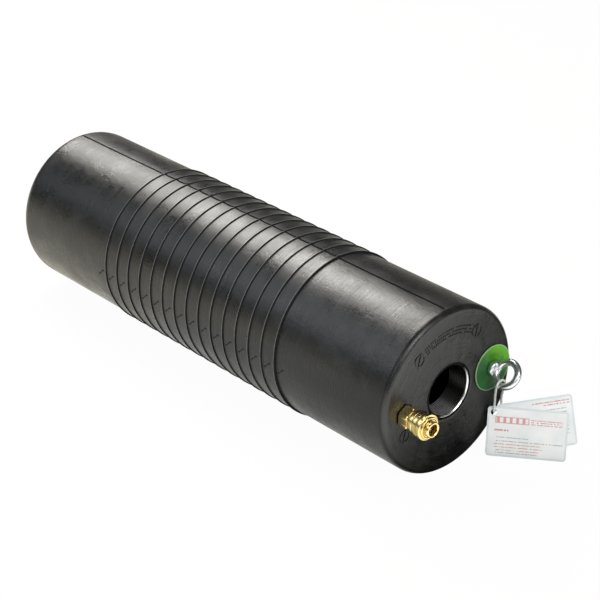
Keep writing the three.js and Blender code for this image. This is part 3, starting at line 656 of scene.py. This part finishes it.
def plate_finish(settings):
    """Bright green sheet with painted light and shade, lighter towards its top and +Y side, a painted
    highlight paler towards its rim, and a scuffed gloss.
    """
    f = Finish("green_plate", Metallic=0.0, Coat_Roughness=0.12)
    where, (_, y, z) = f.place()
    spot = face_spot(1)
    across, height = y - spot[0], z - spot[1]
    reach = across.length_with(height)
    cloud = f.noise(where, 0.12, 4.0, 0.6)
    scuff = f.noise(where, 1.4, 4.0, 0.7)
    # Painted light and shade: the green runs from a shaded tone on one side of the plate to a lit tone
    # towards its top and +Y side
    slope = f.scale(height * 0.75 + across * 0.55 + (cloud - 0.5) * 12, -3.0, 24.0, 0.0, 1.0)
    green = tuple(settings.plate_colour)
    shaded_green = (green[0] * 0.02, green[1] * 0.24, green[2] * 0.4)
    lit_green = (green[0] * 1.3, green[1] * 1.15, green[2] * 0.5)
    base = f.blend(slope, shaded_green, lit_green)
    # Painted highlight: a paler band along the rim, where the edge catches the light
    base = f.blend(f.scale(reach, 25.4, 26.3, 0.0, 0.55), base, (0.42, 0.62, 0.36))
    broken = f.noise(f.point(across.angle_to(height) * 16, reach * 0.5, 0.0), 1.0).above(0.56)
    print_ring = reach.between(13.5, 18.5) * broken
    base = f.blend(print_ring * 0.85, base, (0.001, 0.018, 0.004))
    coat = 0.06 + (scuff - 0.5) * 0.1
    normal = f.bump(scuff, 0.00003, 0.5)
    return f.feed(Base_Color=base, Roughness=0.38 + scuff * 0.16, Coat_Weight=coat, Normal=normal)


def dash_rows(f, u, v, rows):
    """Marks of unequal length in rows: (bottom, height, left, right, dashes per mm) each."""
    marks = None
    for k, (low, height, left, right, pace) in enumerate(rows):
        words = f.noise(f.point(u * pace, k * 7.3, 0.0), 1.0, 1.0).above(0.43)
        row = v.between(low, low + height) * u.between(left, right) * words
        marks = row if marks is None else marks + row
    return marks.clamped()


def card_finish(name, card, settings, rows, heading=None):
    """Printed card sealed in clear film: rows of plain dashes in place of words."""
    f = Finish(name, Metallic=0.0, Coat_Roughness=0.08, IOR=1.49)
    where, _ = f.place()
    along, up, _, corner = card_axes(card)
    u = f.along(where, along, corner)
    v = f.along(where, up, corner)
    cloud = f.noise(where, 0.05, 3.0)
    scratch = f.noise(f.point(u * 0.25, v * 3.0, 0.0), 1.0, 4.0, 0.65)
    paper = f.ramp(cloud, (0.3, (0.84, 0.885, 0.89)), (0.75, tuple(settings.card_colour)))
    inside = u.between(2.2, CARD_WIDTH - 2.2) * v.between(2.2, CARD_HEIGHT - 2.2)
    base = f.blend(inside, (0.74, 0.82, 0.83), paper)
    for colour, lines in rows:
        base = f.blend(dash_rows(f, u, v, lines) * inside * 0.75, base, colour)
    if heading:
        left, right, low, high = heading
        outer = u.between(left, right) * v.between(low, high)
        inner = u.between(left + 1, right - 1) * v.between(low + 1, high - 1)
        blank = (u * 0.9).wave().above(-0.2)
        base = f.blend((outer - inner * blank).clamped() * 0.7, base, (0.62, 0.06, 0.045))
    wrinkle = f.noise(where, 0.035, 2.0)
    normal = f.bump(wrinkle, 0.0012, 0.5)
    normal = f.bump(scratch, 0.00002, 0.5, normal)
    rough = 0.34 + (scratch - 0.5) * 0.2
    coat = 0.7 + (scratch - 0.5) * 0.3
    return f.feed(Base_Color=base, Roughness=rough, Coat_Weight=coat, Normal=normal)


def tie_finish():
    """Milky nylon with a soft inner glow."""
    f = Finish("nylon_tie", Metallic=0.0, IOR=1.53)
    f.shader.inputs["Subsurface Weight"].default_value = 0.35
    f.shader.inputs["Subsurface Scale"].default_value = 0.002
    where, _ = f.place()
    cloud = f.noise(where, 0.5, 3.0)
    base = f.ramp(cloud, (0.3, (0.55, 0.62, 0.57)), (0.7, (0.86, 0.9, 0.87)))
    return f.feed(Base_Color=base, Roughness=0.28 + cloud * 0.15, Normal=f.bump(cloud, 0.00005, 0.5))


# Settings

class PlugSettings(bpy.types.PropertyGroup):
    rubber_colour: bpy.props.FloatVectorProperty(
        name="Rubber", description="Colour of the moulded body", subtype="COLOR", size=3,
        default=(0.0048, 0.0048, 0.0046), min=0.0, max=1.0)
    rubber_roughness: bpy.props.FloatProperty(
        name="Rubber roughness", description="How dull the moulded body is", default=0.34, min=0.0, max=1.0)
    plate_colour: bpy.props.FloatVectorProperty(
        name="Round plate", description="Colour of the plate under the eye", subtype="COLOR", size=3,
        default=(0.095, 0.39, 0.02), min=0.0, max=1.0)
    card_colour: bpy.props.FloatVectorProperty(
        name="Card", description="Colour of the tag cards' paper", subtype="COLOR", size=3,
        default=(0.99, 1.0, 1.0), min=0.0, max=1.0)
    brass_colour: bpy.props.FloatVectorProperty(
        name="Brass", description="Colour of the air coupler", subtype="COLOR", size=3,
        default=(0.88, 0.70, 0.31), min=0.0, max=1.0)


class StageSettings(bpy.types.PropertyGroup):
    lens: bpy.props.FloatProperty(
        name="Lens", description="Focal length on a 36 mm wide sensor", default=106.35, min=10.0,
        unit="CAMERA")
    azimuth: bpy.props.FloatProperty(
        name="Azimuth", description="Direction of the camera round the plug", subtype="ANGLE",
        default=math.radians(48.19))
    elevation: bpy.props.FloatProperty(
        name="Elevation", description="Height of the camera above the horizon", subtype="ANGLE",
        default=math.radians(27.33))
    place: bpy.props.FloatVectorProperty(
        name="Camera place", description="Where the camera stands", subtype="TRANSLATION", size=3,
        default=(1.4391, -1.2039, 1.0477))
    floor_size: bpy.props.FloatProperty(
        name="Floor", description="Half the width of the floor", subtype="DISTANCE", default=12.0, min=1.0)


def dress(names, material):
    """Gives carried-over solids a material."""
    for name in names:
        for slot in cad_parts[name].material_slots:
            slot.material = material


def attach(piece, slot, *replaced, body=BODY):
    if replaced:
        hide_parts(*replaced)
    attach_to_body(piece, body)


# Operators

class PLUG_OT_stage(bpy.types.Operator):
    """Set up the camera, the floor and the soft lights"""

    bl_idname = "pipe_plug.stage"
    bl_label = "Stage"

    def execute(self, context):
        stage = context.scene.pipe_stage
        context.scene.view_settings.view_transform = "Standard"
        camera_data = bpy.data.cameras.new("camera")
        camera_data.lens = stage.lens
        camera_data.sensor_width = 36.0
        camera = bpy.data.objects.new("camera", camera_data)
        camera.location = stage.place
        camera.rotation_euler = (math.pi / 2 - stage.elevation, 0.0, stage.azimuth)
        context.scene.collection.objects.link(camera)
        context.scene.camera = camera
        self.floor(context, stage)
        self.world(context)
        for lamp in LAMPS:
            self.lamp(context, *lamp)
        return {"FINISHED"}

    def floor(self, context, stage):
        bm = bmesh.new()
        bmesh.ops.create_grid(bm, x_segments=1, y_segments=1, size=stage.floor_size / MM)
        floor = make_piece("floor", bm, self.floor_material())

    def floor_material(self):
        f = Finish("floor_paper", Metallic=0.0, Roughness=0.75)
        where, (x, y, _) = f.place()
        grain = f.noise(where, 0.4)
        base = f.ramp(grain, (0.3, (0.80, 0.785, 0.74)), (0.7, (0.83, 0.815, 0.77)))
        camera, glossy, through = [f.node("ShaderNodeLightPath", out=i) for i in (0, 3, 6)]
        seen = (camera * 0.97 + glossy * 0.94 + through * 0.97).clamped()
        # What the body and the face mirror, seen only in glossy rays: a painted shadow on the floor close
        # to the face and a painted brighter glow beside the rear half
        ahead = f.scale(x - y * 0.5, 350.0, 505.0, 0.0, 2.4)
        beside = f.scale(x, -360.0, 260.0, 0.6, 0.0) * y.below(0.0) + 0.72
        bright = f.blend(x.above(325.0), beside, ahead)
        # Painted warm bounce light on the floor towards the rear end, seen only in glossy rays
        tint = f.blend(f.scale(x, -330.0, 0.0, 0.0, 1.0), (1.0, 0.965, 0.83), (1.0, 1.0, 0.97))
        bounce = f.node("ShaderNodeVectorMath", {"operation": "SCALE"}, {0: tint, 3: bright})
        colour = f.blend(camera + through, bounce, (1.0, 1.0, 1.0))
        glow = f.node("ShaderNodeEmission", {}, {"Color": colour, "Strength": 1.0})
        mixed = f.node("ShaderNodeMixShader", {}, {0: seen})
        mixer = mixed.socket.node
        f.tree.links.new(f.shader.outputs[0], mixer.inputs[1])
        f.tree.links.new(glow.socket, mixer.inputs[2])
        f.tree.links.new(mixed.socket, f.output.inputs["Surface"])
        return f.feed(Base_Color=base)

    def world(self, context):
        world = bpy.data.worlds.new("studio")
        world.use_nodes = True
        tree = world.node_tree
        tree.nodes.clear()
        output = tree.nodes.new("ShaderNodeOutputWorld")
        mix = tree.nodes.new("ShaderNodeMixShader")
        path = tree.nodes.new("ShaderNodeLightPath")
        dim = tree.nodes.new("ShaderNodeBackground")
        dim.inputs["Color"].default_value = (0.86, 0.88, 0.9, 1.0)
        dim.inputs["Strength"].default_value = 0.13
        white = tree.nodes.new("ShaderNodeBackground")
        white.inputs["Color"].default_value = (1.0, 1.0, 1.0, 1.0)
        tree.links.new(path.outputs["Is Camera Ray"], mix.inputs[0])
        tree.links.new(dim.outputs[0], mix.inputs[1])
        tree.links.new(white.outputs[0], mix.inputs[2])
        tree.links.new(mix.outputs[0], output.inputs["Surface"])
        context.scene.world = world

    def lamp(self, context, name, place, target, size, power, colour):
        data = bpy.data.lights.new(name, "AREA")
        data.shape = "RECTANGLE"
        data.size, data.size_y = size
        data.energy = power
        data.color = colour
        lamp = bpy.data.objects.new(name, data)
        lamp.location = place
        lamp.rotation_euler = (Vector(target) - Vector(place)).to_track_quat("-Z", "Y").to_euler()
        context.scene.collection.objects.link(lamp)


class PLUG_OT_rubber_body(bpy.types.Operator):
    """Make the beaded rubber body with its seam and mould marks"""

    bl_idname = "pipe_plug.rubber_body"
    bl_label = "Rubber body"

    def execute(self, context):
        rubber = rubber_finish(context.scene.pipe_plug)
        bm = bmesh.new()
        add_rubber_body(bm)
        attach(make_piece("rubber_skin", bm, rubber, 50.0), "rubber", "rubber_body")
        bm = bmesh.new()
        for angle, radius in ((130.8, 71.8), (57.0, 71.0), (-156.2, 72.0)):
            add_ring_mark(bm, math.radians(angle), radius, 6.6)
        for radius in (75.0, 71.3, 67.6):
            for i in range(26):
                angle = math.radians(121.0 - 58.0 * i / 25)
                if (i * 7 + int(radius)) % 9:
                    add_face_dash(bm, angle, radius, 1.6, 2.1, 0.8)
        attach(make_piece("face_marks", bm, rubber), "rubber")
        bm = bmesh.new()
        middles = [(a + b) / 2 for a, b in zip(BEAD_X, BEAD_X[1:])]
        for x in [BEAD_X[0] - 12.0] + [middle - 1.5 for middle in middles] + [BEAD_X[-1] + 9.0]:
            self.tick(bm, x)
        # Painted shade: the slits are thin near-black blocks standing for the shade inside each slit
        slit = soft_finish("vent_slit_shade", (0.0006, 0.0006, 0.0006), (0.002, 0.002, 0.002), 0.85)
        attach(make_piece("side_marks", bm, slit), "rubber")
        return {"FINISHED"}

    def tick(self, bm, x):
        """A slanted slit left by an air vent of the mould, with a short jog at each end, drawn as thin
        near-black blocks that carry the painted shade of the slit.
        """
        level = RADIUS + (BAND_RISE if BEAD_X[0] < x < BEAD_X[-1] else 0.0)
        for shift, rise, length, slope in TICK_STROKES:
            angle = TICK_ANGLE - rise / level
            out = Vector((0, -math.sin(angle), math.cos(angle)))
            up = Vector((0, math.cos(angle), math.sin(angle)))
            along = (Vector((1, 0, 0)) + up * slope).normalized()
            basis = Matrix((out, along, out.cross(along))).transposed()
            place = Vector((x + shift, 0, AXIS_Z)) + out * level
            add_block(bm, place, (0.2, length, 0.55), basis)


class PLUG_OT_end_fittings(bpy.types.Operator):
    """Make the threaded steel sockets and the hose between them"""

    bl_idname = "pipe_plug.end_fittings"
    bl_label = "End fittings"

    def execute(self, context):
        steel = socket_finish()
        outline = [
            (330.0, 30.2), (330.0, 32.5), (312.7, 32.5), (312.7, 75.0), (304.7, 75.0), (304.7, 32.5),
            (299.7, 32.5), (299.7, 30.5), (237.2, 30.5), (235.7, 29.0), (235.7, 27.5), (299.7, 27.5),
            (304.0, 28.9), (328.7, 28.9),
        ]
        for end, way in (("front", 1), ("rear", -1)):
            bm = bmesh.new()
            add_lathe(bm, rounded([(way * x, r) for x, r in outline]), 96)
            if way > 0:
                self.boss(bm, -1, 12.0, 8.3, 304.7)
                self.boss(bm, 1, 10.0, 5.3, 300.0)
            add_thread(bm, way * 304.2, way * 328.5, 28.88, 2.31 * way, 0.9)
            attach(make_piece(f"{end}_socket", bm, steel), "fitting_steel", f"{end}_end_fitting")
        hose = hose_finish()
        bm = bmesh.new()
        add_lathe(bm, [(-295.7, 30.8), (-295.7, 35.8), (295.7, 35.8), (295.7, 30.8)], 96)
        attach(make_piece("bypass_tube", bm, hose), "hose_rubber", "bypass_hose")
        return {"FINISHED"}

    def boss(self, bm, side, outer, inner, start):
        spot = face_spot(side)
        add_lathe(bm, [(start, inner), (start, outer), (FACE, outer), (FACE, inner)], 48, centre=spot)


class PLUG_OT_air_coupler(bpy.types.Operator):
    """Make the polished brass coupler for the air line"""

    bl_idname = "pipe_plug.air_coupler"
    bl_label = "Air coupler"

    def execute(self, context):
        light = tuple(context.scene.pipe_plug.brass_colour)
        dark = tuple(c * 0.66 for c in light)
        spot = face_spot(-1)
        brass = metal_finish("polished_brass", dark, light, 0.27, centre=spot, turning=0.4,
                             tarnish=(light[0] * 0.62, light[1] * 0.56, light[2] * 0.42))
        self.body(spot, brass)
        self.nose(spot, brass)
        self.sleeve(spot, brass)
        dress(["valve_poppet", "sleeve_retaining_ring"], brass)
        return {"FINISHED"}

    def body(self, spot, brass):
        bm = bmesh.new()
        hexagon = 11.5

        def flats(angle):
            part = (angle + math.pi / 6) % (math.pi / 3) - math.pi / 6
            return hexagon / math.cos(part)

        h = FACE
        rows = [(h + 1.6, 4.0), (h + 1.6, 12.35), (h + 2.4, 13.25), (h + 12.3, 13.25), (h + 13.1, 11.8)]
        rows += [(h + 13.1, 11.0), (h + 13.1, 5.5), (h + 1.9, 5.5), (h + 1.9, 4.0)]
        add_lathe(bm, rows, 144, centre=spot, limit=flats)
        stub = [(h - 12, 4.0), (h - 12, 7.3), (h - 11.3, 8.0), (h + 1.6, 8.0), (h + 1.6, 4.0)]
        add_lathe(bm, stub, 64, centre=spot)
        collar = [(h + 13.1, 5.5), (h + 13.1, 11.0), (h + 17.1, 11.0), (h + 17.1, 9.0), (h + 20.1, 9.0)]
        collar += [(h + 20.1, 7.7), (h + 13.1, 7.7)]
        add_lathe(bm, rounded(collar, 0.35), 96, centre=spot)
        attach(make_piece("coupler_hex", bm, brass), "polished_brass", "coupler_body")

    def nose(self, spot, brass):
        bm = bmesh.new()
        h = FACE
        rows = [
            (h + 13.4, 6.0), (h + 13.4, 7.4), (h + 20.4, 7.4), (h + 20.4, 9.0), (h + 34.7, 9.0),
            (h + 34.7, 8.0), (h + 36.2, 8.0), (h + 36.2, 9.0), (h + 39.9, 9.0), (h + 41.4, 8.25),
            (h + 41.4, 6.85), (h + 40.6, 6.1), (h + 28.5, 6.1), (h + 28.5, 7.85), (h + 26.3, 7.85),
            (h + 26.3, 6.1), (h + 24.1, 6.1), (h + 24.1, 4.2), (h + 22.6, 4.2), (h + 22.6, 6.0),
        ]
        add_lathe(bm, rounded(rows, 0.25), 96, centre=spot)
        attach(make_piece("coupler_tip", bm, brass), "polished_brass", "coupler_nose")

    def sleeve(self, spot, brass):
        bm = bmesh.new()
        s = FACE + 16.4
        end = FACE + 36.4
        outer = [
            (s, 11.3), (s, 12.6), (s + 0.4, 13.0), (s + 4.0, 13.0), (s + 4.4, 12.4), (s + 5.4, 12.4),
            (s + 5.8, 14.0), (s + 11.2, 14.0), (s + 11.6, 12.4), (s + 12.6, 12.4), (s + 13.0, 14.7),
            (end - 2.8, 14.7), (end - 2.4, 14.3), (end - 2.4, 12.3), (end - 0.4, 12.3), (end, 11.9),
            (end, 10.56), (end - 1.8, 10.56), (FACE + 31.2, 9.3), (s + 10.7, 9.3), (s + 10.7, 11.3),
        ]
        add_lathe(bm, rounded(outer, 0.3), 128, centre=spot)
        attach(make_piece("coupler_grip", bm, brass), "polished_brass", "coupler_sleeve", body="sleeve")


class PLUG_OT_lifting_eye(bpy.types.Operator):
    """Make the bright eye bolt and the round green plate"""

    bl_idname = "pipe_plug.lifting_eye"
    bl_label = "Lifting eye"

    def execute(self, context):
        spot = face_spot(1)
        zinc = metal_finish("bright_zinc", (0.52, 0.53, 0.54), (0.74, 0.75, 0.76), 0.3, centre=spot)
        bm = bmesh.new()
        h = FACE
        rows = [
            (h - 20, 0.5), (h - 20, 4.0), (h - 19, 5.0), (h + 2.0, 5.0), (h + 2.0, 9.0), (h + 2.5, 9.5),
            (h + 6.2, 9.5), (h + 7.0, 9.2), (h + 7.6, 8.5), (h + 8.0, 7.4), (h + 9.1, 6.2), (h + 9.1, 0.5),
        ]
        add_lathe(bm, rows, 96, centre=spot, closed=False)
        turn = math.radians(52)
        plane = Vector((0, math.cos(turn), math.sin(turn)))
        across = Vector((0, -math.sin(turn), math.cos(turn)))
        basis = Matrix((Vector((1, 0, 0)), plane, across)).transposed()
        add_torus(bm, Vector((h + 21.8, *spot)), 13.9, 4.0, basis, 96, 28)
        attach(make_piece("eye", bm, zinc, 60.0), "zinc_steel", "eye_bolt")
        bm = bmesh.new()
        rows = [
            (h + 0.3, 5.3), (h + 0.3, 26.6), (h + 0.6, 26.9), (h + 1.4, 26.9), (h + 1.75, 26.6),
            (h + 1.8, 26.1), (h + 1.6, 25.7), (h + 1.55, 25.0), (h + 1.6, 5.3),
        ]
        add_lathe(bm, rows, 128, centre=spot)
        green = plate_finish(context.scene.pipe_plug)
        attach(make_piece("green_disc", bm, green), "green_plate", "round_plate")
        return {"FINISHED"}


class PLUG_OT_tag_cards(bpy.types.Operator):
    """Make the two laminated cards and finish their tie"""

    bl_idname = "pipe_plug.tag_cards"
    bl_label = "Tag cards"

    def execute(self, context):
        settings = context.scene.pipe_plug
        red, orange, grey = (0.60, 0.09, 0.06), (0.62, 0.24, 0.13), (0.30, 0.31, 0.32)
        small = [(low, 1.1, 48.0, 82.0, 0.45) for low in (43.6, 41.2, 38.8)]
        front_rows = [
            (red, small + [(29.5, 2.0, 8.5, 24.0, 0.8)]),
            (grey, [(21.8, 1.0, 11.0, 46.0, 0.5), (17.6, 1.0, 11.0, 84.0, 0.5)]),
            (orange, [(14.0, 1.1, 9.0, 60.0, 0.5), (10.6, 1.1, 9.0, 62.0, 0.5),
                      (7.2, 1.1, 11.0, 58.0, 0.5)]),
            (grey, [(4.2, 1.0, 11.0, 56.0, 0.5)]),
        ]
        rear_rows = [
            (red, [(50.5, 1.2, 40.0, 84.0, 0.45), (47.6, 1.2, 52.0, 84.0, 0.45)]),
            (grey, [(42.0 - 4.0 * i, 1.0, 8.0, 80.0, 0.5) for i in range(8)]),
        ]
        front = card_finish("front_card", FRONT_CARD, settings, front_rows, (9.0, 46.0, 38.4, 46.0))
        rear = card_finish("rear_card", REAR_CARD, settings, rear_rows)
        for end, card, material in (("front", FRONT_CARD, front), ("rear", REAR_CARD, rear)):
            bm = bmesh.new()
            add_card(bm, card)
            attach(make_piece(f"{end}_card", bm, material), "laminated_card", f"tag_card_{end}")
        dress(["tag_tie"], tie_finish())
        return {"FINISHED"}


class PLUG_OT_inner_parts(bpy.types.Operator):
    """Make the coupler's springs and finish the clamps, seals and balls that stay as solids"""

    bl_idname = "pipe_plug.inner_parts"
    bl_label = "Inner parts"

    def execute(self, context):
        ends = ("front", "rear")
        zinc = metal_finish("clamp_zinc", (0.45, 0.46, 0.48), (0.70, 0.71, 0.72), 0.3)
        dress([f"{end}_clamp_{part}" for end in ends for part in ("band", "housing", "screw")], zinc)
        steel = metal_finish("spring_steel", (0.32, 0.32, 0.33), (0.62, 0.62, 0.62), 0.25,
                             centre=face_spot(-1))
        self.spring("grip_spring", "sleeve_spring", "sleeve_slide", GRIP_SPRING, steel)
        self.spring("seat_spring", "valve_spring", "poppet_slide", SEAT_SPRING, steel)
        dress([f"locking_ball_{i}" for i in range(1, 5)], steel)
        seal = soft_finish("seal_rubber", (0.05, 0.010, 0.006), (0.13, 0.032, 0.02), 0.45)
        fibre = soft_finish("washer_fibre", (0.10, 0.035, 0.02), (0.2, 0.08, 0.05), 0.6)
        dress(["poppet_seal", "nose_seal"], seal)
        dress(["coupler_seal_washer"], fibre)
        return {"FINISHED"}

    def spring(self, name, node, joint, sizes, steel):
        """A spring of round wire between the ends given in its sizes, in place of its CAD solid."""
        spot = face_spot(-1)
        start, end = sizes["ends"]
        wire = sizes["wire"]
        bm = bmesh.new()
        add_spring(bm, start + wire / 2, end - wire / 2, sizes["ring"], wire, sizes["turns"], spot)
        piece = make_piece(name, bm, steel, 50.0)
        attach(piece, "spring_steel", node)
        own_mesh(piece)


PARTS = (
    PLUG_OT_stage, PLUG_OT_rubber_body, PLUG_OT_end_fittings, PLUG_OT_air_coupler,
    PLUG_OT_lifting_eye, PLUG_OT_tag_cards, PLUG_OT_inner_parts,
)


class PLUG_PT_panel(bpy.types.Panel):
    """Sizes, colours and steps of the pipe plug"""

    bl_label = "Pipe Plug"
    bl_idname = "PLUG_PT_panel"
    bl_space_type = "VIEW_3D"
    bl_region_type = "UI"
    bl_category = "Pipe Plug"

    def draw(self, context):
        layout = self.layout
        for group in (context.scene.pipe_plug, context.scene.pipe_stage):
            box = layout.box()
            for key in group.__annotations__:
                box.prop(group, key)
        for part in PARTS:
            layout.operator(part.bl_idname)


CLASSES = (PlugSettings, StageSettings, *PARTS, PLUG_PT_panel)


def register():
    for item in CLASSES:
        bpy.utils.register_class(item)
    bpy.types.Scene.pipe_plug = bpy.props.PointerProperty(type=PlugSettings)
    bpy.types.Scene.pipe_stage = bpy.props.PointerProperty(type=StageSettings)


def unregister():
    del bpy.types.Scene.pipe_stage
    del bpy.types.Scene.pipe_plug
    for item in reversed(CLASSES):
        bpy.utils.unregister_class(item)


def main():
    """Registers the add-on and runs every step in order."""
    register()
    bpy.ops.pipe_plug.stage()
    bpy.ops.pipe_plug.rubber_body()
    bpy.ops.pipe_plug.end_fittings()
    bpy.ops.pipe_plug.air_coupler()
    bpy.ops.pipe_plug.lifting_eye()
    bpy.ops.pipe_plug.tag_cards()
    bpy.ops.pipe_plug.inner_parts()


if __name__ == "__main__":
    main()
